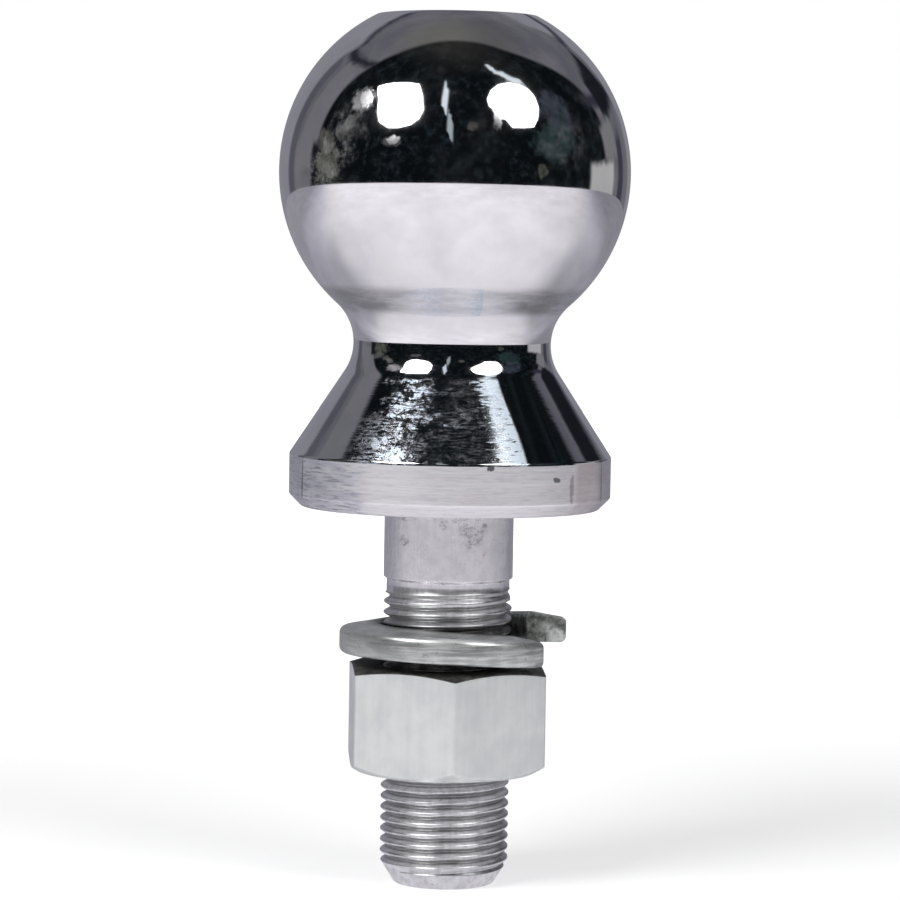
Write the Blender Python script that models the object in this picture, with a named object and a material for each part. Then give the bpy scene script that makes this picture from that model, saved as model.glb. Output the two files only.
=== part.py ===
"""Threaded tow ball: a forged ball stud, a split lock washer and a hex nut.

Metres, +Z up. The origin is the centre of the shank's lower end, on which the ball stands.
The viewer in front of it looks along +Y, with +X to the right.
"""

import math

import bmesh
import bpy
from mathutils import Matrix

# Ball stud, one forging
BALL_DIAMETER = 0.0508
TOP_FLAT_DIAMETER = 0.0232
NECK_DIAMETER = 0.0286
NECK_CURVE_RADIUS = 0.00756
CONE_ANGLE = math.radians(33.2)
COLLAR_DIAMETER = 0.0467
COLLAR_HEIGHT = 0.00763
COLLAR_CHAMFER = 0.00175
SHANK_DIAMETER = 0.0188
SHANK_LENGTH = 0.05487
PLAIN_LENGTH = 0.01017
RUN_OUT_LENGTH = 0.0025
RUN_OUT_STEP = 0.0003
END_DIAMETER = 0.0146
END_CHAMFER_ANGLE = math.radians(32)

# Right-hand thread with 60 degree flanks. It was rolled on a blank of its own diameter. Its
# first crest starts low on the end chamfer, so the nut can leave the shank over full grooves.
THREAD_DIAMETER = 0.0187
THREAD_PITCH = 0.0015875
THREAD_DEPTH = 0.0009
THREAD_CREST = 0.0002
THREAD_FLANK_ANGLE = math.radians(30)
THREAD_BLANK_DIAMETER = 0.0179
THREAD_FADE_TURNS = 0.5
THREAD_LEAD_IN = 0.0002
THREAD_START = 0.00044

# Hex nut, placed by the height of its lower face above the shank's end
NUT_ACROSS_FLATS = 0.0276
NUT_BASE_HEIGHT = 0.01649
NUT_THICKNESS = 0.01546
NUT_TOP_FACE_DIAMETER = 0.0270
NUT_TOP_CHAMFER_ANGLE = math.radians(18)
NUT_BASE_FACE_DIAMETER = 0.0264
NUT_BASE_CHAMFER_ANGLE = math.radians(30)
NUT_MOUTH_DEPTH = 0.0006
NUT_MOUTH_WIDENING = 0.0003
NUT_CORNER_ANGLE = math.radians(-85.5)

# Split lock washer, a coil of one left-hand turn that lies tipped on the nut
WASHER_WIDTH = 0.0059
WASHER_INNER_THICKNESS = 0.0045
WASHER_OUTER_THICKNESS = 0.0038
WASHER_EDGE_RADIUS = 0.0006
WASHER_RISE_PER_TURN = 0.0037
WASHER_RAISED_END_ANGLE = math.radians(-2)
WASHER_SWEEP = math.radians(335)
WASHER_END_SPREAD = 0.00165
WASHER_SPREAD_SWEEP = math.radians(75)
WASHER_TILT = math.radians(-3.7)

# Clearances between the pieces
THREAD_CLEARANCE = 0.0003
WASHER_BORE_CLEARANCE = 0.0004
SEAT_GAP = 0.0003

# Fineness of the meshes
SIDES_PER_NUT_FLAT = 4
THREAD_SIDES = 6 * SIDES_PER_NUT_FLAT
ROUND_SIDES = 2 * THREAD_SIDES
STEP_ANGLE = 2 * math.pi / ROUND_SIDES
WASHER_STEPS = 48
EDGE_STEPS = 2
SHARP_ANGLE = math.radians(25)

# Places along the shank that follow from the sizes
SHANK_RADIUS = SHANK_DIAMETER / 2
THREAD_RADIUS = THREAD_DIAMETER / 2
THREAD_BLANK_RADIUS = THREAD_BLANK_DIAMETER / 2
THREAD_TOP = SHANK_LENGTH - PLAIN_LENGTH - RUN_OUT_LENGTH
NUT_TOP_HEIGHT = NUT_BASE_HEIGHT + NUT_THICKNESS


def remove_scene_objects():
    for scene_object in list(bpy.data.objects):
        bpy.data.objects.remove(scene_object, do_unlink=True)


def make_material(name, colour, roughness):
    material = bpy.data.materials.new(name)
    material.use_nodes = True
    shader = material.node_tree.nodes["Principled BSDF"]
    shader.inputs["Base Color"].default_value = (*colour, 1.0)
    shader.inputs["Metallic"].default_value = 1.0
    shader.inputs["Roughness"].default_value = roughness
    return material


def make_object(name, bm, material):
    """Turns a closed bmesh into a smooth-shaded object whose real edges stay sharp."""
    bmesh.ops.recalc_face_normals(bm, faces=bm.faces)
    mesh = bpy.data.meshes.new(name)
    bm.to_mesh(mesh)
    bm.free()
    mesh.shade_smooth()
    mesh.set_sharp_from_angle(angle=SHARP_ANGLE)
    mesh.materials.append(material)
    new_object = bpy.data.objects.new(name, mesh)
    bpy.context.collection.objects.link(new_object)
    return new_object


def on_circle(radius, angle, z):
    return (radius * math.cos(angle), radius * math.sin(angle), z)


def add_ring(bm, radius, z, sides):
    turn = 2 * math.pi / sides
    return [bm.verts.new(on_circle(radius, turn * i, z)) for i in range(sides)]


def join_rings(bm, coarse, fine):
    """Joins two rings. Each side of the coarse ring meets one or more sides of the fine one."""
    ratio = len(fine) // len(coarse)
    for i in range(len(coarse)):
        far_side = [fine[(ratio * i + k) % len(fine)] for k in range(ratio, -1, -1)]
        bm.faces.new([coarse[i], coarse[(i + 1) % len(coarse)], *far_side])


def join_fan(bm, apex, points):
    for first, second in zip(points, points[1:]):
        bm.faces.new((apex, first, second))


def arc_points(centre, radius, start, end):
    """Points (radius, height) of an arc between two angles, no coarser than the round sides."""
    steps = math.ceil(abs(end - start) / STEP_ANGLE)
    angles = [start + (end - start) * k / steps for k in range(steps + 1)]
    return [(centre[0] + radius * math.cos(a), centre[1] + radius * math.sin(a)) for a in angles]


def thread_profile():
    """One pitch of the thread from its crest: each point's height in the pitch, and its radius."""
    root = THREAD_RADIUS - THREAD_DEPTH
    flank = THREAD_DEPTH * math.tan(THREAD_FLANK_ANGLE)
    return [
        (0.0, THREAD_RADIUS),
        (THREAD_CREST, THREAD_RADIUS),
        (THREAD_CREST + flank, root),
        (THREAD_PITCH - flank, root),
    ]


def add_threaded_wall(bm, below, above, first, start_z, end_z, radius_at):
    """Adds a helical wall between two rings of THREAD_SIDES points.

    Step number first lies at start_z, and each step turns by one side and climbs by its share
    of the pitch. The wall stops so that its last turn ends below end_z. radius_at(radius, fade,
    z) gives the radius of a profile point, where fade runs from 0 at the ends to 1.
    """
    climb = THREAD_PITCH / THREAD_SIDES
    turn = 2 * math.pi / THREAD_SIDES
    steps = math.floor((end_z - start_z) / climb) - THREAD_SIDES
    fade_steps = THREAD_FADE_TURNS * THREAD_SIDES
    profile = thread_profile()
    columns = []
    for i in range(steps + THREAD_SIDES + 1):
        fade = max(0.0, min(1.0, i / fade_steps, (steps - i) / fade_steps))
        column = []
        for rise, radius in profile if i <= steps else profile[:1]:
            z = start_z + climb * i + rise
            point = on_circle(radius_at(radius, fade, z), turn * (first + i), z)
            column.append(bm.verts.new(point))
        columns.append(column)

    for i in range(steps):
        left = columns[i] + [columns[i + THREAD_SIDES][0]]
        right = columns[i + 1] + [columns[i + 1 + THREAD_SIDES][0]]
        for j in range(len(profile)):
            bm.faces.new((left[j], right[j], right[j + 1], left[j + 1]))

    # The lower ring meets the first turn, and a fan closes the step where that turn starts.
    foot = [columns[i][0] for i in range(THREAD_SIDES)]
    for i in range(THREAD_SIDES - 1):
        here, there = below[(first + i) % THREAD_SIDES], below[(first + i + 1) % THREAD_SIDES]
        bm.faces.new((here, there, foot[i + 1], foot[i]))
    last, start = below[(first - 1) % THREAD_SIDES], below[first % THREAD_SIDES]
    join_fan(bm, foot[-1], [last, start, *columns[0], columns[THREAD_SIDES][0]])

    # The upper ring meets the last turn in the same way.
    crown = [columns[steps + i][0] for i in range(THREAD_SIDES + 1)]
    end = first + steps
    for i in range(1, THREAD_SIDES):
        here, there = above[(end + i) % THREAD_SIDES], above[(end + i + 1) % THREAD_SIDES]
        bm.faces.new((crown[i], crown[i + 1], there, here))
    start, after = above[end % THREAD_SIDES], above[(end + 1) % THREAD_SIDES]
    join_fan(bm, crown[1], [after, start, crown[-1], *reversed(columns[steps])])


def stud_head_outline():
    """Points (radius, height) from the collar's lower rim up to the edge of the top flat."""
    collar_radius = COLLAR_DIAMETER / 2
    ball_radius = BALL_DIAMETER / 2
    collar_top = SHANK_LENGTH + COLLAR_HEIGHT
    curve_x = NECK_DIAMETER / 2 + NECK_CURVE_RADIUS
    cone_end_radius = curve_x - NECK_CURVE_RADIUS * math.cos(CONE_ANGLE)
    cone_end = collar_top + (collar_radius - cone_end_radius) / math.tan(CONE_ANGLE)
    curve_z = cone_end + NECK_CURVE_RADIUS * math.sin(CONE_ANGLE)
    ball_z = curve_z + math.sqrt((ball_radius + NECK_CURVE_RADIUS) ** 2 - curve_x ** 2)
    meeting_angle = math.atan2(curve_z - ball_z, curve_x)
    flat_angle = math.acos(TOP_FLAT_DIAMETER / BALL_DIAMETER)

    collar = [
        (collar_radius - COLLAR_CHAMFER, SHANK_LENGTH),
        (collar_radius, SHANK_LENGTH + COLLAR_CHAMFER),
        (collar_radius, collar_top),
    ]
    neck_start, neck_end = math.pi + CONE_ANGLE, math.pi + meeting_angle
    neck = arc_points((curve_x, curve_z), NECK_CURVE_RADIUS, neck_start, neck_end)
    lower_ball = arc_points((0, ball_z), ball_radius, meeting_angle, 0)
    upper_ball = arc_points((0, ball_z), ball_radius, 0, flat_angle)
    return collar + neck + lower_ball[1:] + upper_ball[1:]


def stud_thread_radius(radius, fade, z):
    """Fades the thread into its blank, and cuts it off at the cone of the end chamfer."""
    faded = THREAD_BLANK_RADIUS + fade * (radius - THREAD_BLANK_RADIUS)
    cone = END_DIAMETER / 2 + z * math.tan(END_CHAMFER_ANGLE)
    return min(faded, cone)


def build_ball_stud(material):
    bm = bmesh.new()
    end_radius = END_DIAMETER / 2
    lead_in_z = THREAD_START - THREAD_LEAD_IN
    lead_in_radius = end_radius + lead_in_z * math.tan(END_CHAMFER_ANGLE)
    plain_start = SHANK_LENGTH - PLAIN_LENGTH

    end_ring = add_ring(bm, end_radius, 0, THREAD_SIDES)
    lead_in = add_ring(bm, lead_in_radius, lead_in_z, THREAD_SIDES)
    run_out = add_ring(bm, THREAD_BLANK_RADIUS, THREAD_TOP, THREAD_SIDES)
    step = add_ring(bm, THREAD_BLANK_RADIUS, plain_start - RUN_OUT_STEP, THREAD_SIDES)
    plain_low = add_ring(bm, SHANK_RADIUS, plain_start, THREAD_SIDES)
    plain_high = add_ring(bm, SHANK_RADIUS, SHANK_LENGTH, THREAD_SIDES)
    head = [add_ring(bm, radius, z, ROUND_SIDES) for radius, z in stud_head_outline()]

    bm.faces.new(end_ring)
    join_rings(bm, end_ring, lead_in)
    add_threaded_wall(bm, lead_in, run_out, 0, THREAD_START, THREAD_TOP, stud_thread_radius)
    join_rings(bm, run_out, step)
    join_rings(bm, step, plain_low)
    join_rings(bm, plain_low, plain_high)
    join_rings(bm, plain_high, head[0])
    for lower, upper in zip(head, head[1:]):
        join_rings(bm, lower, upper)
    bm.faces.new(head[-1])
    return make_object("ball_stud", bm, material)


def add_hex_edge(bm, face_radius, face_z, drop):
    """Adds the edge where the nut's flats meet a chamfer that drops by drop per unit of radius."""
    turn = 2 * math.pi / ROUND_SIDES
    edge = []
    for i in range(ROUND_SIDES):
        angle = turn * i
        from_flat_middle = angle % (math.pi / 3) - math.pi / 6
        radius = NUT_ACROSS_FLATS / 2 / math.cos(from_flat_middle)
        edge.append(bm.verts.new(on_circle(radius, angle, face_z - drop * (radius - face_radius))))
    return edge


def nut_thread_radius(radius, fade, z):
    """Keeps the nut's thread clear of the shank's, and opens it out to the mouth at both ends."""
    mouth = THREAD_RADIUS + THREAD_CLEARANCE
    return mouth + fade * (radius + THREAD_CLEARANCE - mouth)


def build_hex_nut(material):
    """The nut is made with a corner at angle 0 and its lower face at height 0."""
    bm = bmesh.new()
    base_face_radius = NUT_BASE_FACE_DIAMETER / 2
    top_face_radius = NUT_TOP_FACE_DIAMETER / 2
    bore_radius = THREAD_RADIUS + THREAD_CLEARANCE
    mouth_radius = bore_radius + NUT_MOUTH_WIDENING
    base_drop = -math.tan(NUT_BASE_CHAMFER_ANGLE)
    top_drop = math.tan(NUT_TOP_CHAMFER_ANGLE)

    base_mouth = add_ring(bm, mouth_radius, 0, THREAD_SIDES)
    base_face = add_ring(bm, base_face_radius, 0, ROUND_SIDES)
    base_edge = add_hex_edge(bm, base_face_radius, 0, base_drop)
    top_edge = add_hex_edge(bm, top_face_radius, NUT_THICKNESS, top_drop)
    top_face = add_ring(bm, top_face_radius, NUT_THICKNESS, ROUND_SIDES)
    top_mouth = add_ring(bm, mouth_radius, NUT_THICKNESS, THREAD_SIDES)
    bore_low = add_ring(bm, bore_radius, NUT_MOUTH_DEPTH, THREAD_SIDES)
    bore_high = add_ring(bm, bore_radius, NUT_THICKNESS - NUT_MOUTH_DEPTH, THREAD_SIDES)

    join_rings(bm, base_mouth, base_face)
    join_rings(bm, base_face, base_edge)
    join_rings(bm, base_edge, top_edge)
    join_rings(bm, top_edge, top_face)
    join_rings(bm, top_mouth, top_face)
    join_rings(bm, base_mouth, bore_low)
    join_rings(bm, top_mouth, bore_high)

    # The helix is the shank's own, seen from the nut's turned frame.
    climb = THREAD_PITCH / THREAD_SIDES
    turned = THREAD_PITCH * NUT_CORNER_ANGLE / (2 * math.pi)
    helix_z = THREAD_START - NUT_BASE_HEIGHT + turned
    first = math.ceil((NUT_MOUTH_DEPTH + THREAD_LEAD_IN - helix_z) / climb)
    start_z = helix_z + first * climb
    end_z = NUT_THICKNESS - NUT_MOUTH_DEPTH - THREAD_LEAD_IN
    add_threaded_wall(bm, bore_low, bore_high, first, start_z, end_z, nut_thread_radius)

    nut = make_object("hex_nut", bm, material)
    nut.location.z = NUT_BASE_HEIGHT
    nut.rotation_euler.z = NUT_CORNER_ANGLE
    return nut


def washer_section():
    """Points (distance outwards, height) around the section, with rounded edges."""
    corners = [
        (0, 0, math.pi),
        (WASHER_WIDTH, 0, 1.5 * math.pi),
        (WASHER_WIDTH, WASHER_OUTER_THICKNESS, 0),
        (0, WASHER_INNER_THICKNESS, 0.5 * math.pi),
    ]
    edge = WASHER_EDGE_RADIUS
    points = []
    for x, z, start in corners:
        inside_x = x + edge if x == 0 else x - edge
        inside_z = z + edge if z == 0 else z - edge
        for k in range(EDGE_STEPS + 1):
            angle = start + 0.5 * math.pi * k / EDGE_STEPS
            points.append((inside_x + edge * math.cos(angle), inside_z + edge * math.sin(angle)))
    return points


def build_lock_washer(material):
    """The coil is made about its own middle, tipped, and laid on the nut."""
    bm = bmesh.new()
    bore_radius = max(SHANK_RADIUS, THREAD_RADIUS) + WASHER_BORE_CLEARANCE
    rise = WASHER_RISE_PER_TURN * WASHER_SWEEP / (2 * math.pi)
    middle = (rise + WASHER_INNER_THICKNESS) / 2
    section = washer_section()
    loops = []
    for i in range(WASHER_STEPS + 1):
        swept = WASHER_SWEEP * i / WASHER_STEPS
        spread = max(0.0, 1 - swept / WASHER_SPREAD_SWEEP) ** 2 * WASHER_END_SPREAD
        angle = WASHER_RAISED_END_ANGLE + swept
        base = rise * (1 - i / WASHER_STEPS) - middle
        inner = bore_radius + spread
        loops.append([bm.verts.new(on_circle(inner + x, angle, base + z)) for x, z in section])
    for loop, following in zip(loops, loops[1:]):
        join_rings(bm, loop, following)
    bm.faces.new(loops[0])
    bm.faces.new(loops[-1])

    tilt = Matrix.Rotation(WASHER_TILT, 4, "X")
    lowest = min((tilt @ vertex.co).z for vertex in bm.verts)
    washer = make_object("lock_washer", bm, material)
    washer.rotation_euler.x = WASHER_TILT
    washer.location.z = NUT_TOP_HEIGHT + SEAT_GAP - lowest
    return washer


def main():
    remove_scene_objects()
    build_ball_stud(make_material("chrome_plate", (0.78, 0.78, 0.80), 0.08))
    build_lock_washer(make_material("zinc_washer", (0.52, 0.54, 0.52), 0.40))
    build_hex_nut(make_material("zinc_nut", (0.72, 0.74, 0.75), 0.35))


main()
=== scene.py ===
"""Looks of the threaded tow ball: a chromed ball stud, a split lock washer and a hex nut.

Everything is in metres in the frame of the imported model: +Z up, the viewer at -Y.
"""

import math

import bmesh
import bpy
from mathutils import Matrix, Vector


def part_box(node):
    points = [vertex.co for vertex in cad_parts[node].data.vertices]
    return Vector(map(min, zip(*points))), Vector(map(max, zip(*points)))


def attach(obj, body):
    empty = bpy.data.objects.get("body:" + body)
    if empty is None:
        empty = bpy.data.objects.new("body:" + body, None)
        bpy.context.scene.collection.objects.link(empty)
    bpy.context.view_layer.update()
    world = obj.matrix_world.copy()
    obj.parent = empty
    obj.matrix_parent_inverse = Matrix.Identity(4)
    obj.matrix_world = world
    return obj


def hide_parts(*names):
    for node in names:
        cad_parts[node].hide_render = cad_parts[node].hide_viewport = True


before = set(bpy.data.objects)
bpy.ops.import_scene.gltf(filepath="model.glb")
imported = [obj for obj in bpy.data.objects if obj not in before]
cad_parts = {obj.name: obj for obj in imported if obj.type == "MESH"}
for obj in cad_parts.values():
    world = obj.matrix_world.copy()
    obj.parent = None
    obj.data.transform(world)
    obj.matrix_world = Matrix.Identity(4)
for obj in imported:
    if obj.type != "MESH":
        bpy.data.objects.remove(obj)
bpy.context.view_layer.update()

# Ball stud, as the solid has it
BALL_RADIUS = 0.0254
TOP_FLAT_RADIUS = 0.0116
NECK_RADIUS = 0.0143
NECK_CURVE_RADIUS = 0.00756
CONE_ANGLE = math.radians(33.2)
COLLAR_RADIUS = 0.02335
COLLAR_HEIGHT = 0.00763
COLLAR_CHAMFER = 0.00175
SHANK_RADIUS = 0.0094
SHANK_LENGTH = 0.05487
PLAIN_LENGTH = 0.01017
RUN_OUT_LENGTH = 0.0009
RUN_OUT_STEP = 0.0003
END_RADIUS = 0.0073
END_CHAMFER_ANGLE = math.radians(32)

# Thread
THREAD_RADIUS = 0.00935
THREAD_PITCH = 0.0015875
THREAD_DEPTH = 0.0009
THREAD_CREST = 0.00026
THREAD_ROUNDING = 0.00011
THREAD_FLANK_ANGLE = math.radians(30)
THREAD_BLANK_RADIUS = 0.00895
THREAD_FADE_TURNS = 0.9
THREAD_LEAD_IN = 0.0002
THREAD_START = 0.00044
THREAD_CLEARANCE = 0.0003

# Hex nut
NUT_FLAT_RADIUS = 0.0138
NUT_TOP_FACE_RADIUS = 0.0135
NUT_TOP_CHAMFER_ANGLE = math.radians(18)
NUT_BASE_FACE_RADIUS = 0.0132
NUT_BASE_CHAMFER_ANGLE = math.radians(30)
NUT_MOUTH_DEPTH = 0.0006
NUT_MOUTH_WIDENING = 0.0003
NUT_CORNER_ANGLE = math.radians(-85.5)
NUT_CORNER_ROUNDING = 0.0006
NUT_FACE_SHARE = 0.9
NUT_BORE_FACE_SHARE = 0.873
NUT_UPPER_SLOPE = 0.15

# Split lock washer
WASHER_WIDTH = 0.0059
WASHER_INNER_THICKNESS = 0.0045
WASHER_OUTER_THICKNESS = 0.0038
WASHER_EDGE_RADIUS = 0.0009
WASHER_RISE_PER_TURN = 0.0037
WASHER_RAISED_END_ANGLE = math.radians(-2)
WASHER_SWEEP = math.radians(335)
WASHER_END_SPREAD = 0.00165
WASHER_SPREAD_SWEEP = math.radians(75)
WASHER_TILT = math.radians(-3.7)
WASHER_BORE_CLEARANCE = 0.0004
WASHER_END_ROUNDING = 0.00018

# Marks on the metal, each with its centre, its reach along x, y and z, and its strength
BALL_SCUFFS = [
    ((-0.0125, -0.0199, 0.1128), (0.0012, 0.0016, 0.0016), 0.9),
    ((-0.0086, -0.0236, 0.1071), (0.0011, 0.0010, 0.0007), 0.7),
    ((-0.0145, -0.0199, 0.1095), (0.0007, 0.0010, 0.0010), 0.5),
    ((0.0057, -0.0237, 0.1104), (0.0008, 0.0010, 0.0022), 0.5),
    ((0.0026, -0.0245, 0.1093), (0.0007, 0.0008, 0.0006), 0.4),
]
DUSTY_PLACES = [
    ((-0.0180, -0.0178, 0.1035), (0.0036, 0.0050, 0.0034), 0.8),
    ((-0.0150, -0.0200, 0.1085), (0.0034, 0.0040, 0.0040), 0.45),
    ((0.0150, -0.0190, 0.1070), (0.0040, 0.0050, 0.0050), 0.25),
]
CONE_SCRATCHES = [
    ((-0.0074, -0.0178, 0.0688), (0.0022, 0.0014, 0.00028), 1.0),
    ((0.0060, -0.0183, 0.0689), (0.0012, 0.0014, 0.00028), 0.8),
    ((-0.0030, -0.0189, 0.0686), (0.0010, 0.0014, 0.00028), 0.6),
    ((-0.0078, -0.0216, 0.0634), (0.0023, 0.0022, 0.0013), 1.0),
    ((-0.0108, -0.0190, 0.0652), (0.0022, 0.0020, 0.0009), 0.45),
]
COLLAR_NICKS = [
    ((0.0057, -0.0226, 0.0621), (0.0007, 0.0010, 0.00050), 0.9),
    ((0.0150, -0.0179, 0.0602), (0.0006, 0.0010, 0.00040), 0.8),
    ((0.0172, -0.0158, 0.0590), (0.00035, 0.0010, 0.0024), 0.45),
    ((-0.0210, -0.0101, 0.0591), (0.00012, 0.0008, 0.0035), 0.7),
    ((0.0216, -0.0089, 0.0592), (0.00012, 0.0008, 0.0035), 0.45),
]
SHANK_STAINS = [
    ((-0.0064, -0.0069, 0.0505), (0.0008, 0.0010, 0.0008), 0.7),
    ((-0.0009, -0.0093, 0.0528), (0.0006, 0.0010, 0.0006), 0.6),
    ((0.0036, -0.0087, 0.0518), (0.0022, 0.0020, 0.0024), 0.5),
    ((0.0010, -0.0093, 0.0537), (0.0040, 0.0020, 0.0006), 0.35),
    ((-0.0062, -0.0071, 0.0537), (0.0022, 0.0030, 0.0005), 0.45),
]

# Where wear, tints, painted shade and painted reflections lie: heights and radii in metres, sides
# in degrees from the front.
# Of a pair of spans, a mask grows over the first and fades over the second.
# Heights of the ball's painted dark reflection of the shadowed floor
BALL_PAINTED_REFLECTION_HEIGHTS = ((0.0826, 0.0838), (0.0858, 0.0873))
# Top of the cone's painted reflection band and haze
CONE_WEAR_AND_REFLECTION_TOP = (0.0744, 0.0736)
COLLAR_LEFT_SIDES = ((-130, -80), (-40, -27))
COLLAR_RIGHT_SIDES = ((48, 52), (80, 130))
COLLAR_RIM_SHADE_SIDES = ((64, 66), (80, 130))
THREADED_BELOW = (0.0438, 0.0434)
GROOVES_ABOVE = (0.0026, 0.0034)
GROOVE_RADII = (0.0089, 0.0085)
# Heights of the shank's painted shade at the washer and nut
GAP_SHADE_HEIGHTS = ((0.0283, 0.0298), (0.0376, 0.0392))
WASHER_LEFT_SIDES = ((-130, -85), (-50, -12))
WASHER_BORE_SHADE_RADII = (0.0122, 0.0100)
# Edges of the cone's band of painted lamp reflection, as two heights and the side at each of them
BAND_LEFT_EDGE = (0.0745, 0.0670, 14.0, 20.5)
BAND_RIGHT_EDGE = (0.0745, 0.0640, 24.2, 27.4)

# Tones of the metal. A pair holds the darker and the paler tone of a surface.
BALL_CHROME = ((0.80, 0.79, 0.82), (0.90, 0.89, 0.90))
BALL_DUST = (0.46, 0.48, 0.43)
# Painted dark reflection on the lower ball, above the neck
BALL_PAINTED_REFLECTION = (0.20, 0.21, 0.20)
CONE_CHROME = ((0.76, 0.76, 0.80), (0.86, 0.86, 0.88))
# Pale bluish tones of the cone's scratches and of its painted lamp reflection
CONE_WEAR_AND_REFLECTION = ((0.40, 0.57, 0.80), (0.66, 0.76, 0.82))
COLLAR_CHROME = ((0.92, 0.91, 0.93), (1.0, 0.99, 1.0))
COLLAR_BLUSH = (0.92, 0.82, 0.84)
COLLAR_SHADE = (0.52, 0.53, 0.64)
COLLAR_DASH = (0.34, 0.34, 0.42)
COLLAR_PINK = (0.66, 0.55, 0.56)
# Painted shade round the collar's sides
COLLAR_RIM_SHADE = (0.50, 0.50, 0.58)
COLLAR_NICK = (0.08, 0.08, 0.10)
SHANK_CHROME = ((0.84, 0.83, 0.86), (0.98, 0.97, 0.99))
THREAD_CHROME = ((0.62, 0.62, 0.63), (0.86, 0.86, 0.87))
SHANK_FLECK = (0.34, 0.33, 0.34)
SHANK_STAIN = (0.16, 0.15, 0.15)
# Painted shade in the thread grooves
GROOVE_SHADE = (0.14, 0.14, 0.14)
# Painted shade on the shank in the gap at the washer and nut
SHANK_GAP_SHADE = (0.09, 0.085, 0.08)
WASHER_ZINC = ((0.42, 0.44, 0.43), (0.86, 0.88, 0.86))
# Darker tone for streaks on the washer's left side
WASHER_LEFT_DARK = (0.30, 0.32, 0.31)
# Painted shade round the washer's bore
WASHER_BORE_SHADE = (0.06, 0.06, 0.055)
WASHER_END = ((0.14, 0.15, 0.13), (0.66, 0.69, 0.65))
WASHER_PIT = (0.20, 0.21, 0.20)
NUT_ZINC = ((0.78, 0.81, 0.81), (0.92, 0.94, 0.93))
# Painted shade on the nut's upper side, under the washer
NUT_TOP_SHADE = ((0.035, 0.033, 0.030), (0.12, 0.12, 0.11))

# Edge rounding of the turned parts
FINE_ROUNDING = 0.00025
END_ROUNDING = 0.00045
COLLAR_ROUNDING = 0.0005
SUPPORT_DISTANCE = 0.00012

# Where rings lie on the flat faces, as shares of their radius, and where finishes meet
TOP_FACE_SHARE = 0.8
END_FACE_SHARES = (0.5, 0.8)
CONE_LIMIT_SHARE = 0.6
HEIGHT_TOLERANCE = 1e-6

# Fineness of the meshes
THREAD_SIDES = 120
ROUND_SIDES = 2 * THREAD_SIDES
ARC_STEP = math.radians(2)
ROUNDING_STEPS = 5
NUT_CORNER_STEPS = 6
WASHER_STEPS = 180
WASHER_EDGE_STEPS = 5
SHARP_ANGLE = math.radians(40)

# Camera, fitted to the photograph of 900 x 900 pixels
PHOTO_SIZE = 900
FOCAL_PIXELS = 3400
BALL_PIXEL = (455.0, 172.8)
BALL_DEPTH = 0.4913
CAMERA_PITCH = math.radians(3.5)
CAMERA_ROLL = math.radians(0.97)
SENSOR_WIDTH = 36.0

# Floor, an oval whose middle lies behind the object. The chrome sees it in one tint in front
# of the object and in another behind it.
FLOOR_MIDDLE = 0.32
FLOOR_HALF_WIDTH = 1.0
FLOOR_HALF_DEPTH = 1.08
FLOOR_SIDES = 96
FLOOR_TONE = (0.82, 0.82, 0.82)
FLOOR_REFLECTED = ((0.97, 0.95, 1.0), (0.89, 0.88, 1.0))

# World
WORLD_FILL = (0.22, 0.22, 0.23)
WHITE = (1.0, 1.0, 1.0)
BLACK = (0.0, 0.0, 0.0)

# Lamps, whose outlines are (azimuth, elevation) in degrees as seen from the ball
LIGHT_DISTANCE = 1.5
LEFT_BRIGHTNESS = 8.3
RIGHT_BRIGHTNESS = 4.6
LEFT_LAMP = [
    (-73, 46), (-66, 49.5), (-53, 53), (-37, 54.5), (-29, 47), (-25, 38), (-27, 32),
    (-32, 28), (-40, 25.5), (-47.5, 25), (-55, 27.5), (-60, 33), (-64, 39), (-71, 44),
]
RIGHT_LAMP = [
    (26, 46), (32, 51.5), (42, 54.5), (54, 54), (62, 51), (67, 47), (68, 42), (66, 36),
    (61, 30), (56, 26), (48, 26), (40, 26.7), (37, 31), (32, 35.7), (26, 41.5),
]

# Room that the chrome shows
ROOM_RADIUS = 3.0
PAPER_TONES = ((0.11, 0.11, 0.13), (0.17, 0.168, 0.185))
PAPER_TOP = (0.135, 0.135, 0.130)
PAPER_CORNER = (0.06, 0.06, 0.075)
DARK_TONES = ((0.0035, 0.005, 0.006), (0.020, 0.029, 0.034))
DARK_TOP = (0.020, 0.020, 0.019)
# How soft and how frayed a patch's edges are, before and beyond the rear azimuth
REAR_AZIMUTH = 95
FRONT_EDGE = (1.0, 1.0)
REAR_EDGE = (2.0, 0.35)
# Patches: azimuths from and to, elevations from and to, how much they lean, and their tone
ROOM_PATCHES = [
    (-185, -139, -9, 44, 0.0, (0.24, 0.24, 0.275)),
    (-124, -104, 1, 42, 0.0, (0.17, 0.168, 0.185)),
    (154, 185, -9, 44, 0.0, (0.24, 0.24, 0.275)),
    (-138, -129, -9, 36, 0.0, (0.095, 0.095, 0.115)),
    (133, 142, -9, 10, 0.0, (0.05, 0.05, 0.07)),
    (-165, -134, 42, 46, 0.0, (0.05, 0.05, 0.07)),
    (-136, -99, 37, 41, 0.35, (0.02, 0.022, 0.03)),
    (112, 152, 26, 31, -0.3, (0.03, 0.03, 0.045)),
    (127, 149, 16, 31, 0.0, (0.010, 0.011, 0.015)),
    (150, 170, 29, 33, -0.3, (0.05, 0.05, 0.07)),
    (99, 126, -9, 5, 0.0, (0.42, 0.42, 0.42)),
    (116, 133, 6, 17, 0.0, (0.19, 0.19, 0.20)),
    (-108, -101, -9, 11, 0.0, (0.01, 0.01, 0.015)),
    (44, 67, 64.5, 70, -0.72, (0.72, 0.80, 0.86)),
    (-12, -7, 44, 60, -1.6, (0.75, 0.83, 0.90)),
    (-6, -2, 26, 40, -2.0, (0.38, 0.44, 0.46)),
]
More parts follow.
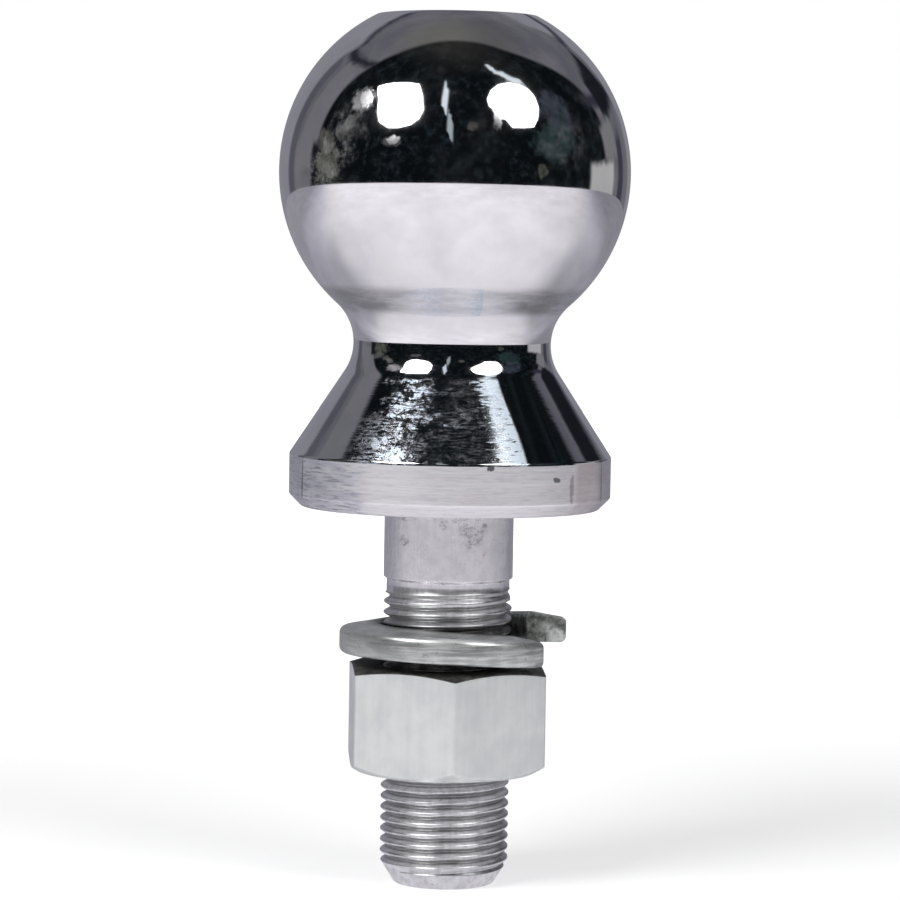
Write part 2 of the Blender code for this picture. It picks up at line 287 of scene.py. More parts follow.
# Softer things in the room, each with its centre and its reach in degrees, and its tone
ROOM_BLOBS = [
    ((-77, 37), (11, 7), (0.42, 0.42, 0.43)),
    ((-79, 24), (5, 5), (0.17, 0.17, 0.165)),
    ((-84, 19), (6, 4), (0.13, 0.13, 0.125)),
    ((-97, 13), (10, 5), (0.13, 0.13, 0.12)),
    ((-92, 3), (14, 9), (0.10, 0.105, 0.085)),
    ((-43, 17), (7, 3.5), (0.11, 0.11, 0.105)),
    ((11.5, 28.5), (3.5, 3), (0.13, 0.13, 0.12)),
    ((58, 1), (4, 4), (0.08, 0.085, 0.07)),
    ((79, 31), (13, 14), (0.044, 0.053, 0.070)),
    ((70, 16), (18, 10), (0.026, 0.048, 0.050)),
]


# Mesh helpers

def on_circle(radius, angle, z):
    return (radius * math.cos(angle), radius * math.sin(angle), z)


def add_ring(bm, radius, z, sides):
    turn = 2 * math.pi / sides
    return [bm.verts.new(on_circle(radius, turn * i, z)) for i in range(sides)]


def join_rings(bm, coarse, fine):
    """Joins two rings. Each side of the coarse ring meets one or more sides of the fine one."""
    ratio = len(fine) // len(coarse)
    for i in range(len(coarse)):
        far_side = [fine[(ratio * i + k) % len(fine)] for k in range(ratio, -1, -1)]
        bm.faces.new([coarse[i], coarse[(i + 1) % len(coarse)], *far_side])


def join_fan(bm, apex, points):
    for first, second in zip(points, points[1:]):
        bm.faces.new((apex, first, second))


def arc_points(centre, radius, start, end):
    """Points (radius, height) of an arc between two angles."""
    steps = math.ceil(abs(end - start) / ARC_STEP)
    angles = [start + (end - start) * k / steps for k in range(steps + 1)]
    return [(centre[0] + radius * math.cos(a), centre[1] + radius * math.sin(a)) for a in angles]


def rounded_corner(before, corner, after, radius):
    """The arc that replaces a corner of an outline, as a list of points."""
    before, corner, after = Vector(before), Vector(corner), Vector(after)
    back, ahead = (before - corner).normalized(), (after - corner).normalized()
    half = math.acos(max(-1.0, min(1.0, back.dot(ahead)))) / 2
    centre = corner + (back + ahead).normalized() * radius / math.sin(half)
    first = corner + back * radius / math.tan(half) - centre
    last = corner + ahead * radius / math.tan(half) - centre
    start = math.atan2(first.y, first.x)
    turn = math.atan2(last.y, last.x) - start
    turn = (turn + math.pi) % (2 * math.pi) - math.pi
    angles = [start + turn * k / ROUNDING_STEPS for k in range(ROUNDING_STEPS + 1)]
    return [(centre.x + radius * math.cos(a), centre.y + radius * math.sin(a)) for a in angles]


def rounded_outline(corners):
    """An outline through (radius, height, rounding) corners, with the first and last kept sharp.

    Each straight run has a point close to each of its ends, which keeps its shading flat.
    """
    pieces = [[corners[0][:2]]]
    for before, corner, after in zip(corners, corners[1:], corners[2:]):
        pieces.append(rounded_corner(before[:2], corner[:2], after[:2], corner[2]))
    pieces.append([corners[-1][:2]])
    outline = list(pieces[0])
    for previous, piece in zip(pieces, pieces[1:]):
        start, end = Vector(previous[-1]), Vector(piece[0])
        run = end - start
        step = run.normalized() * min(SUPPORT_DISTANCE, run.length / 3)
        outline += [tuple(start + step), tuple(end - step), *piece]
    return outline


def new_object(name, data):
    item = bpy.data.objects.new(name, data)
    bpy.context.scene.collection.objects.link(item)
    return item


def make_piece(name, bm, materials, body):
    """Turns the mesh into a piece of the body with its materials, smooth but for its edges."""
    bmesh.ops.recalc_face_normals(bm, faces=bm.faces)
    mesh = bpy.data.meshes.new(name)
    bm.to_mesh(mesh)
    bm.free()
    mesh.shade_smooth()
    mesh.set_sharp_from_angle(angle=SHARP_ANGLE)
    for material in materials:
        mesh.materials.append(material)
    piece = new_object(name, mesh)
    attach(piece, body)
    return piece


# Thread

def thread_profile():
    """One pitch of the thread from its crest, with its corners broken."""
    root = THREAD_RADIUS - THREAD_DEPTH
    slope = math.tan(THREAD_FLANK_ANGLE)
    flank = THREAD_DEPTH * slope
    cut = THREAD_ROUNDING
    return [
        (0.0, THREAD_RADIUS - cut / 3),
        (THREAD_CREST / 2, THREAD_RADIUS),
        (THREAD_CREST, THREAD_RADIUS - cut / 3),
        (THREAD_CREST + cut * (1 + slope), THREAD_RADIUS - 2 * cut),
        (THREAD_CREST + flank - cut * slope, root + cut),
        (THREAD_CREST + flank + cut, root),
        (THREAD_PITCH - flank - cut, root),
        (THREAD_PITCH - flank + cut * slope, root + cut),
        (THREAD_PITCH - cut * (1 + slope), THREAD_RADIUS - 2 * cut),
    ]


def add_threaded_wall(bm, below, above, first, start_z, end_z, radius_at):
    """Adds a helical wall between two rings of THREAD_SIDES points.

    Step number first lies at start_z, and each step turns by one side and climbs by its share
    of the pitch. The wall stops so that its last turn ends below end_z. radius_at(radius, fade,
    z) gives the radius of a profile point, where fade runs from 0 at the ends to 1.
    """
    climb = THREAD_PITCH / THREAD_SIDES
    turn = 2 * math.pi / THREAD_SIDES
    steps = math.floor((end_z - start_z) / climb) - THREAD_SIDES
    fade_steps = THREAD_FADE_TURNS * THREAD_SIDES
    profile = thread_profile()
    columns = []
    for i in range(steps + THREAD_SIDES + 1):
        fade = max(0.0, min(1.0, i / fade_steps, (steps - i) / fade_steps))
        column = []
        for rise, radius in profile if i <= steps else profile[:1]:
            z = start_z + climb * i + rise
            point = on_circle(radius_at(radius, fade, z), turn * (first + i), z)
            column.append(bm.verts.new(point))
        columns.append(column)

    for i in range(steps):
        left = columns[i] + [columns[i + THREAD_SIDES][0]]
        right = columns[i + 1] + [columns[i + 1 + THREAD_SIDES][0]]
        for j in range(len(profile)):
            bm.faces.new((left[j], right[j], right[j + 1], left[j + 1]))

    # The lower ring meets the first turn, and a fan closes the step where that turn starts.
    foot = [columns[i][0] for i in range(THREAD_SIDES)]
    for i in range(THREAD_SIDES - 1):
        here, there = below[(first + i) % THREAD_SIDES], below[(first + i + 1) % THREAD_SIDES]
        bm.faces.new((here, there, foot[i + 1], foot[i]))
    last, start = below[(first - 1) % THREAD_SIDES], below[first % THREAD_SIDES]
    join_fan(bm, foot[-1], [last, start, *columns[0], columns[THREAD_SIDES][0]])

    # The upper ring meets the last turn in the same way.
    crown = [columns[steps + i][0] for i in range(THREAD_SIDES + 1)]
    end = first + steps
    for i in range(1, THREAD_SIDES):
        here, there = above[(end + i) % THREAD_SIDES], above[(end + i + 1) % THREAD_SIDES]
        bm.faces.new((crown[i], crown[i + 1], there, here))
    start, after = above[end % THREAD_SIDES], above[(end + 1) % THREAD_SIDES]
    join_fan(bm, crown[1], [after, start, crown[-1], *reversed(columns[steps])])


# Ball stud

def stud_places():
    """Heights that follow from the sizes: the neck curve's centre and the ball's centre."""
    collar_top = SHANK_LENGTH + COLLAR_HEIGHT
    curve_x = NECK_RADIUS + NECK_CURVE_RADIUS
    cone_end_radius = curve_x - NECK_CURVE_RADIUS * math.cos(CONE_ANGLE)
    cone_end = collar_top + (COLLAR_RADIUS - cone_end_radius) / math.tan(CONE_ANGLE)
    curve_z = cone_end + NECK_CURVE_RADIUS * math.sin(CONE_ANGLE)
    ball_z = curve_z + math.sqrt((BALL_RADIUS + NECK_CURVE_RADIUS) ** 2 - curve_x ** 2)
    return (curve_x, curve_z), ball_z


def stud_head_outline():
    """Points (radius, height) from the seat's outer part up to inside the top flat."""
    (curve_x, curve_z), ball_z = stud_places()
    collar_top = SHANK_LENGTH + COLLAR_HEIGHT
    meeting_angle = math.atan2(curve_z - ball_z, curve_x)
    flat_angle = math.acos(TOP_FLAT_RADIUS / BALL_RADIUS)
    neck_start, neck_end = math.pi + CONE_ANGLE, math.pi + meeting_angle
    neck = arc_points((curve_x, curve_z), NECK_CURVE_RADIUS, neck_start, neck_end)
    collar = rounded_outline([
        (COLLAR_RADIUS - 3 * COLLAR_CHAMFER, SHANK_LENGTH, 0),
        (COLLAR_RADIUS - COLLAR_CHAMFER, SHANK_LENGTH, COLLAR_ROUNDING),
        (COLLAR_RADIUS, SHANK_LENGTH + COLLAR_CHAMFER, COLLAR_ROUNDING),
        (COLLAR_RADIUS, collar_top, COLLAR_ROUNDING),
        (*neck[0], 0),
    ])
    lower_ball = arc_points((0, ball_z), BALL_RADIUS, meeting_angle, 0)
    upper_ball = arc_points((0, ball_z), BALL_RADIUS, 0, flat_angle)
    flat_z = upper_ball[-1][1]
    inner = (TOP_FACE_SHARE * TOP_FLAT_RADIUS, flat_z)
    rim = rounded_corner(upper_ball[-3], upper_ball[-1], inner, FINE_ROUNDING)
    return collar + neck[1:] + lower_ball[1:] + upper_ball[1:-1] + [*rim, inner]


def stud_thread_radius(radius, fade, z):
    faded = THREAD_BLANK_RADIUS + fade * (radius - THREAD_BLANK_RADIUS)
    cone = END_RADIUS + z * math.tan(END_CHAMFER_ANGLE)
    return min(faded, cone)


def stud_zones():
    """The lower limits of the ball with its neck, of the cone and of the collar.

    The cone's lower limit runs within the rounding of the collar's upper edge.
    """
    (_, curve_z), _ = stud_places()
    collar_top = SHANK_LENGTH + COLLAR_HEIGHT
    cone_limit = collar_top - CONE_LIMIT_SHARE * COLLAR_ROUNDING
    return curve_z, cone_limit, SHANK_LENGTH - HEIGHT_TOLERANCE


def stud_end_outline():
    """Points (radius, height) from inside the end face to the start of the thread."""
    lead_in_z = THREAD_START - THREAD_LEAD_IN
    lead_in = (END_RADIUS + lead_in_z * math.tan(END_CHAMFER_ANGLE), lead_in_z)
    face = [(share * END_RADIUS, 0.0) for share in END_FACE_SHARES]
    return face + rounded_corner((0, 0), (END_RADIUS, 0), lead_in, END_ROUNDING)


def stud_plain_outline():
    """Points (radius, height) of the run-out and the plain length."""
    plain_start = SHANK_LENGTH - PLAIN_LENGTH
    return rounded_outline([
        (THREAD_BLANK_RADIUS, plain_start - RUN_OUT_LENGTH, 0),
        (THREAD_BLANK_RADIUS, plain_start - RUN_OUT_STEP, RUN_OUT_STEP / 2),
        (SHANK_RADIUS, plain_start, RUN_OUT_STEP / 2),
        (SHANK_RADIUS, SHANK_LENGTH, 0),
    ])


def build_ball_stud(materials):
    """The stud with its finishes in the order ball, cone, collar and shank."""
    bm = bmesh.new()
    end = [add_ring(bm, radius, z, THREAD_SIDES) for radius, z in stud_end_outline()]
    plain = [add_ring(bm, radius, z, THREAD_SIDES) for radius, z in stud_plain_outline()]
    head = [add_ring(bm, radius, z, ROUND_SIDES) for radius, z in stud_head_outline()]
    for rings in (end, plain, head):
        for lower, upper in zip(rings, rings[1:]):
            join_rings(bm, lower, upper)
    bm.faces.new(end[0])
    bm.faces.new(head[-1])
    join_rings(bm, plain[-1], head[0])
    thread_top = SHANK_LENGTH - PLAIN_LENGTH - RUN_OUT_LENGTH
    add_threaded_wall(bm, end[-1], plain[0], 0, THREAD_START, thread_top, stud_thread_radius)
    limits = stud_zones()
    for face in bm.faces:
        height = face.calc_center_median().z
        face.material_index = sum(height < limit for limit in limits)
    piece = make_piece("ball_stud_chrome", bm, materials, "ball_stud")
    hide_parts("ball_stud")


# Hex nut

def nut_outline_points():
    """The hexagon's outline with rounded corners, as (radius, angle), from a corner's start."""
    flat_steps = THREAD_SIDES // 6 - NUT_CORNER_STEPS
    corner_distance = (NUT_FLAT_RADIUS - NUT_CORNER_ROUNDING) / math.cos(math.pi / 6)
    half_flat = corner_distance / 2
    points = []
    for side in range(6):
        corner_angle = side * math.pi / 3
        centre = Vector(on_circle(corner_distance, corner_angle, 0)[:2])
        for k in range(NUT_CORNER_STEPS):
            angle = corner_angle + math.radians(60) * (k / NUT_CORNER_STEPS - 0.5)
            points.append(centre + Vector(on_circle(NUT_CORNER_ROUNDING, angle, 0)[:2]))
        middle = corner_angle + math.pi / 6
        outward = Vector((math.cos(middle), math.sin(middle)))
        along = Vector((-outward.y, outward.x))
        for k in range(flat_steps):
            offset = half_flat * (2 * k / flat_steps - 1)
            points.append(NUT_FLAT_RADIUS * outward + offset * along)
    return [(point.length, math.atan2(point.y, point.x)) for point in points]


def nut_thread_radius(radius, fade, z):
    mouth = THREAD_RADIUS + THREAD_CLEARANCE
    return mouth + fade * (radius + THREAD_CLEARANCE - mouth)


def nut_outline(radius, thickness):
    """The outer outline at one distance from the axis, from the base to the top."""
    base_slope, top_slope = math.tan(NUT_BASE_CHAMFER_ANGLE), math.tan(NUT_TOP_CHAMFER_ANGLE)
    return rounded_outline([
        (NUT_FACE_SHARE * NUT_BASE_FACE_RADIUS, 0.0, 0),
        (NUT_BASE_FACE_RADIUS, 0.0, FINE_ROUNDING),
        (radius, base_slope * (radius - NUT_BASE_FACE_RADIUS), FINE_ROUNDING),
        (radius, thickness - top_slope * (radius - NUT_TOP_FACE_RADIUS), FINE_ROUNDING),
        (NUT_TOP_FACE_RADIUS, thickness, FINE_ROUNDING),
        (NUT_FACE_SHARE * NUT_TOP_FACE_RADIUS, thickness, 0),
    ])


def add_nut_sides(bm, thickness):
    """Adds the outer surface, and returns its first and last row of points."""
    columns = []
    for radius, angle in nut_outline_points():
        outline = nut_outline(radius, thickness)
        columns.append([bm.verts.new(on_circle(r, angle, z)) for r, z in outline])
    rows = list(zip(*columns))
    for lower, upper in zip(rows, rows[1:]):
        join_rings(bm, lower, upper)
    return rows[0], rows[-1]


def add_nut_mouths(bm, thickness):
    """Adds the widened mouths of the bore, and returns the rings of each, base first."""
    bore_radius = THREAD_RADIUS + THREAD_CLEARANCE
    base_outline = rounded_outline([
        (NUT_BORE_FACE_SHARE * NUT_BASE_FACE_RADIUS, 0.0, 0),
        (bore_radius + NUT_MOUTH_WIDENING, 0.0, FINE_ROUNDING / 2),
        (bore_radius, NUT_MOUTH_DEPTH, 0),
    ])
    top_outline = [(radius, thickness - z) for radius, z in base_outline]
    mouths = []
    for outline in (base_outline, top_outline):
        mouths.append([add_ring(bm, radius, z, THREAD_SIDES) for radius, z in outline])
        for ring, following in zip(mouths[-1], mouths[-1][1:]):
            join_rings(bm, ring, following)
    return mouths


def join_face(bm, inner, outer):
    """Joins a mouth's ring to the nut's outline, whose points start half a corner earlier."""
    shift = NUT_CORNER_STEPS // 2
    count = len(inner)
    for i in range(count):
        here, there = outer[(i + shift) % count], outer[(i + shift + 1) % count]
        bm.faces.new((inner[i], inner[(i + 1) % count], there, here))


def add_nut_thread(bm, base_ring, top_ring, thickness, base_z):
    """Adds the internal thread, which continues the stud's thread around the nut's place."""
    climb = THREAD_PITCH / THREAD_SIDES
    helix_z = THREAD_START - base_z + THREAD_PITCH * NUT_CORNER_ANGLE / (2 * math.pi)
    first = math.ceil((NUT_MOUTH_DEPTH + THREAD_LEAD_IN - helix_z) / climb)
    start_z = helix_z + first * climb
    end_z = thickness - NUT_MOUTH_DEPTH - THREAD_LEAD_IN
    add_threaded_wall(bm, base_ring, top_ring, first, start_z, end_z, nut_thread_radius)


def build_hex_nut(materials):
    """The nut with its finishes in the order sides, and upper side with painted shade.

    It is made with a corner at angle 0 and its lower face at height 0, then placed.
    """
    low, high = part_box("hex_nut")
    thickness = high.z - low.z
    bm = bmesh.new()
    base_row, top_row = add_nut_sides(bm, thickness)
    base_mouth, top_mouth = add_nut_mouths(bm, thickness)
    join_face(bm, base_mouth[0], base_row)
    join_face(bm, top_mouth[0], top_row)
    add_nut_thread(bm, base_mouth[-1], top_mouth[-1], thickness, low.z)
    place = Matrix.Translation((0, 0, low.z)) @ Matrix.Rotation(NUT_CORNER_ANGLE, 4, "Z")
    bm.transform(place)
    bmesh.ops.recalc_face_normals(bm, faces=bm.faces)
    for face in bm.faces:
        # Faces that look upwards take the painted shade of the upper side
        face.material_index = int(face.normal.z > NUT_UPPER_SLOPE)
    piece = make_piece("hex_nut_zinc", bm, materials, "hex_nut")
    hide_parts("hex_nut")


# Lock washer

def washer_section(inset):
    """Points (distance outwards, height) around the section, with rounded edges."""
    corners = [
        (0, 0, math.pi),
        (WASHER_WIDTH, 0, 1.5 * math.pi),
        (WASHER_WIDTH, WASHER_OUTER_THICKNESS, 0),
        (0, WASHER_INNER_THICKNESS, 0.5 * math.pi),
    ]
    edge = WASHER_EDGE_RADIUS
    reach = edge - inset
    points = []
    for x, z, start in corners:
        inside_x = x + edge if x == 0 else x - edge
        inside_z = z + edge if z == 0 else z - edge
        for k in range(WASHER_EDGE_STEPS + 1):
            angle = start + 0.5 * math.pi * k / WASHER_EDGE_STEPS
            points.append((inside_x + reach * math.cos(angle), inside_z + reach * math.sin(angle)))
    return points


def washer_stations():
    """Where the section stands along the coil, as (swept angle, inset of the section)."""
    bore_radius = SHANK_RADIUS + WASHER_BORE_CLEARANCE
    shift = WASHER_END_ROUNDING / (bore_radius + WASHER_WIDTH / 2)
    stations = [(0.0, WASHER_END_ROUNDING), (shift / 3, WASHER_END_ROUNDING / 3), (shift, 0.0)]
    stations += [(WASHER_SWEEP * i / WASHER_STEPS, 0.0) for i in range(1, WASHER_STEPS)]
    mirrored = [(WASHER_SWEEP - swept, inset) for swept, inset in reversed(stations[:3])]
    return stations + mirrored


def build_lock_washer(material):
    """The washer, coiled with the raised end first, tilted and set at the solid's height."""
    low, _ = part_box("lock_washer")
    bm = bmesh.new()
    bore_radius = SHANK_RADIUS + WASHER_BORE_CLEARANCE
    rise = WASHER_RISE_PER_TURN * WASHER_SWEEP / (2 * math.pi)
    middle = (rise + WASHER_INNER_THICKNESS) / 2
    loops = []
    for swept, inset in washer_stations():
        spread = max(0.0, 1 - swept / WASHER_SPREAD_SWEEP) ** 2 * WASHER_END_SPREAD
        angle = WASHER_RAISED_END_ANGLE + swept
        base = rise * (1 - swept / WASHER_SWEEP) - middle
        inner = bore_radius + spread
        section = washer_section(inset)
        loops.append([bm.verts.new(on_circle(inner + x, angle, base + z)) for x, z in section])
    for loop, following in zip(loops, loops[1:]):
        join_rings(bm, loop, following)
    bm.faces.new(loops[0])
    bm.faces.new(loops[-1])
    bm.transform(Matrix.Rotation(WASHER_TILT, 4, "X"))
    lowest = min(vertex.co.z for vertex in bm.verts)
    bm.transform(Matrix.Translation((0, 0, low.z - lowest)))
    piece = make_piece("lock_washer_zinc", bm, [material], "lock_washer")
    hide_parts("lock_washer")


# Material helpers

class Graph:
    """A thin wrapper that adds linked nodes to a node tree."""

    def __init__(self, tree):
        self.tree = tree

    def add(self, kind, inputs=None, **settings):
        node = self.tree.nodes.new(kind)
        for name, value in settings.items():
            setattr(node, name, value)
        for key, value in (inputs or {}).items():
            self.put(node.inputs[key], value)
        return node

    def put(self, socket, value):
        """Links a socket, or sets its constant. A colour is given as three numbers."""
        if isinstance(value, bpy.types.NodeSocket):
            self.tree.links.new(value, socket)
        elif socket.type == "RGBA":
            socket.default_value = (*value, 1.0)
        else:
            socket.default_value = value

    def math(self, operation, *values):
        """Applies an operation to one value, or to several values one after the other."""
        result, *others = values
        for other in others or (0.0,):
            node = self.add("ShaderNodeMath", {0: result, 1: other}, operation=operation)
            result = node.outputs[0]
        return result

    def times(self, *values):
        return self.math("MULTIPLY", *values)

    def plus(self, *values):
        return self.math("ADD", *values)

    def minus(self, first, second):
        return self.math("SUBTRACT", first, second)

    def most(self, *values):
        return self.math("MAXIMUM", *values)

    def split(self, vector):
        return self.add("ShaderNodeSeparateXYZ", {0: vector}).outputs

    def band(self, value, start, end, low=0.0, high=1.0):
        """Maps value from start..end to low..high, smoothly and clamped."""
        inputs = {0: value, 1: start, 2: end, 3: low, 4: high}
        node = self.add("ShaderNodeMapRange", inputs, interpolation_type="SMOOTHSTEP")
        return node.outputs["Result"]

    def noise(self, vector, scale, detail=3.0, roughness=0.55):
        """Noise at a scale per metre. Three scales stretch it along x, y and z."""
        if isinstance(scale, tuple):
            stretched = self.add("ShaderNodeMapping", {"Vector": vector, "Scale": scale})
            vector, scale = stretched.outputs["Vector"], 1.0
        inputs = {"Vector": vector, "Scale": scale, "Detail": detail, "Roughness": roughness}
        return self.add("ShaderNodeTexNoise", inputs).outputs["Fac"]

    def mix(self, factor, first, second, kind="FLOAT"):
        inputs = {"Factor": factor, "A": first, "B": second}
        return self.add("ShaderNodeMix", inputs, data_type=kind).outputs["Result"]

    def blend(self, factor, first, second):
        """Mixes two colours."""
        return self.mix(factor, first, second, "RGBA")


def new_material(name):
    """A material, its graph, its shader and the place on the object in metres."""
    material = bpy.data.materials.new(name)
    material.use_nodes = True
    graph = Graph(material.node_tree)
    shader = material.node_tree.nodes["Principled BSDF"]
    place = graph.add("ShaderNodeTexCoord").outputs["Object"]
    return material, graph, shader, place


def glowing_material(name):
    """A material that only glows, its graph and its emission shader."""
    material = bpy.data.materials.new(name)
    material.use_nodes = True
    material.node_tree.nodes.clear()
    graph = Graph(material.node_tree)
    glow = graph.add("ShaderNodeEmission", {"Color": WHITE, "Strength": 1.0})
    graph.add("ShaderNodeOutputMaterial", {"Surface": glow.outputs["Emission"]})
    return material, graph, glow


def finish_material(name, finish):
    """A material whose finish gives its colour, roughness, metallic and height in metres."""
    material, g, shader, place = new_material(name)
    tone, roughness, metallic, height = finish(g, place)
    g.put(shader.inputs["Base Color"], tone)
    g.put(shader.inputs["Roughness"], roughness)
    g.put(shader.inputs["Metallic"], metallic)
    bump = g.add("ShaderNodeBump", {"Height": height, "Strength": 1.0, "Distance": 1.0})
    g.put(shader.inputs["Normal"], bump.outputs["Normal"])
    return material


# Masks

def spot(g, place, centre, reach, ragged):
    """A mask that is 1 around a centre and falls to 0 at its reach along x, y and z."""
    scale = tuple(1 / r for r in reach)
    shift = tuple(-c / r for c, r in zip(centre, reach))
    inside = g.add("ShaderNodeMapping", {"Vector": place, "Location": shift, "Scale": scale})
    distance = g.add("ShaderNodeVectorMath", {0: inside.outputs["Vector"]}, operation="LENGTH")
    return g.band(g.plus(distance.outputs["Value"], g.times(ragged, 1.6)), 1.9, 1.45)


def spots(g, place, marks, ragged):
    """The strongest of several spots, each with its own strength."""
    masks = []
    for centre, reach, strength in marks:
        masks.append(g.times(spot(g, place, centre, reach, ragged), strength))
    return g.most(*masks)


def window(g, value, rise, fall):
    """A mask that grows to 1 over the first span and fades over the second."""
    return g.times(g.band(value, *rise), g.band(value, fall[1], fall[0]))


def between(g, value, start, end, soft):
    """A mask that is 1 from start to end, with soft limits."""
    return window(g, value, (start - soft, start + soft), (end - soft, end + soft))


def side_angle(g, place):
    """Degrees round the axis, 0 at the front and positive to the right."""
    x, y, _ = g.split(place)
    return g.math("DEGREES", g.math("ARCTAN2", x, g.times(y, -1.0)))


def axis_distance(g, place):
    x, y, _ = g.split(place)
    return g.math("SQRT", g.plus(g.times(x, x), g.times(y, y)))


# Finishes

def ball_finish(g, place):
    """Mirror chrome with a little dust and scuffs, and a painted dark reflection on both sides
    above the neck.
    """
    x, _, z = g.split(place)
    fine = g.noise(place, 1700.0, 3.0, 0.65)
    cloud = g.noise(place, 130.0, 3.0, 0.6)
    patchy = g.noise(place, 480.0, 4.0, 0.75)
    streaky = g.noise(place, (150.0, 150.0, 900.0), 4.0, 0.65)
    dusty = g.plus(g.band(cloud, 0.40, 0.70, 0.0, 0.05), spots(g, place, DUSTY_PLACES, cloud))
    speckle = g.times(g.band(patchy, 0.40, 0.72), g.band(fine, 0.30, 0.65, 0.3, 1.0))
    dust = g.times(dusty, speckle)
    scuffs = spots(g, place, BALL_SCUFFS, fine)
    left, right = g.band(x, -0.004, -0.010, 0.40, 0.75), g.band(x, 0.003, 0.010, 0.40, 0.80)
    # Painted dark reflection of the shadowed floor, left and right above the neck
    dark_reflection = g.times(window(g, z, *BALL_PAINTED_REFLECTION_HEIGHTS), g.most(left, right))
    dark_reflection = g.times(dark_reflection, g.band(streaky, 0.30, 0.62, 0.45, 1.0))
    tone = g.blend(g.band(cloud, 0.3, 0.7), *BALL_CHROME)
    tone = g.blend(g.times(dust, 0.7), tone, BALL_DUST)
    tone = g.blend(g.times(dark_reflection, 0.8), tone, BALL_PAINTED_REFLECTION)
    roughness = g.mix(scuffs, g.band(cloud, 0.3, 0.8, 0.03, 0.07), 0.30)
    roughness = g.mix(g.times(dark_reflection, 0.6), roughness, 0.22)
    metallic = g.minus(1.0, g.times(dust, 0.45))
    return tone, roughness, metallic, g.times(fine, g.mix(scuffs, 0.4e-6, 8e-6))


def cone_reflection_band(g, z, side, teeth, cloud):
    """A band of painted lamp reflection right of the middle, with teeth along its left edge."""
    ragged_side = g.plus(side, g.band(teeth, 0.25, 0.75, 9.0, -9.0))
    left = g.band(g.minus(ragged_side, g.band(z, *BAND_LEFT_EDGE)), -2.5, 3.0)
    right = g.band(g.minus(side, g.band(z, *BAND_RIGHT_EDGE)), 0.8, -0.8)
    return g.times(left, right, g.band(cloud, 0.35, 0.60, 0.42, 0.80))


def cone_reflection_haze(g, z, side, torn):
    """Painted reflection as a haze of pale specks under the left lamp's reflection, thinner far
    left and in the middle.
    """
    torn_side = g.plus(side, g.band(torn, 0.25, 0.75, 16.0, -16.0))
    left = g.times(between(g, torn_side, -24.0, -9.0, 7.0), g.band(z, 0.0625, 0.0720, 0.5, 0.9))
    far_left = g.times(between(g, side, -38.0, -22.0, 6.0), g.band(z, 0.0700, 0.0670, 0.0, 0.55))
    middle = g.times(between(g, side, -8.0, 12.0, 5.0), g.band(torn, 0.38, 0.60, 0.04, 0.30))
    return g.most(left, far_left, middle)


def cone_finish(g, place):
    """Mirror chrome with scratches, a band of painted lamp reflection and a haze of painted
    reflection in pale specks, whose ragged edges follow the turning marks.
    """
    _, _, z = g.split(place)
    side = side_angle(g, place)
    turned = g.noise(place, (330.0, 330.0, 2600.0), 4.0, 0.7)
    teeth = g.noise(place, (520.0, 520.0, 3000.0), 4.0, 0.75)
    fine = g.noise(place, 1500.0, 3.0, 0.65)
    cloud = g.noise(place, 170.0, 3.0, 0.6)
    torn = g.noise(place, 420.0, 4.0, 0.8)
    frayed = g.band(g.noise(place, 900.0, 4.0, 0.8), 0.35, 0.65, 0.2, 1.3)
    on_cone = g.band(z, *CONE_WEAR_AND_REFLECTION_TOP)
    reflection_band = cone_reflection_band(g, z, side, teeth, cloud)
    flecks = g.times(g.band(teeth, 0.41, 0.60), g.band(fine, 0.34, 0.54, 0.3, 1.0))
    reflection_haze = g.times(cone_reflection_haze(g, z, side, torn), flecks, g.band(cloud, 0.38, 0.62, 0.45, 1.0))
    scratches = spots(g, place, CONE_SCRATCHES, frayed)
    scratches = g.times(scratches, g.band(torn, 0.36, 0.52, 0.25, 1.0))
    # The scratches are wear; the band and the haze are painted reflection of the lamps
    wear_and_reflection = g.most(g.times(g.most(reflection_band, reflection_haze), on_cone), scratches)
    clean_tone = g.blend(g.band(cloud, 0.3, 0.7), *CONE_CHROME)
    wear_and_reflection_tone = g.blend(g.most(reflection_band, scratches), *CONE_WEAR_AND_REFLECTION)
    tone = g.blend(wear_and_reflection, clean_tone, wear_and_reflection_tone)
    roughness = g.mix(wear_and_reflection, g.band(fine, 0.35, 0.7, 0.04, 0.08), 0.42)
    metallic = g.minus(1.0, g.times(wear_and_reflection, 0.75))
    relief = g.plus(turned, g.times(fine, 0.12))
    depth = g.times(g.band(cloud, 0.36, 0.64, 3.0e-6, 1.0e-5), g.mix(on_cone, 0.15, 1.0))
    return tone, roughness, metallic, g.times(relief, depth)


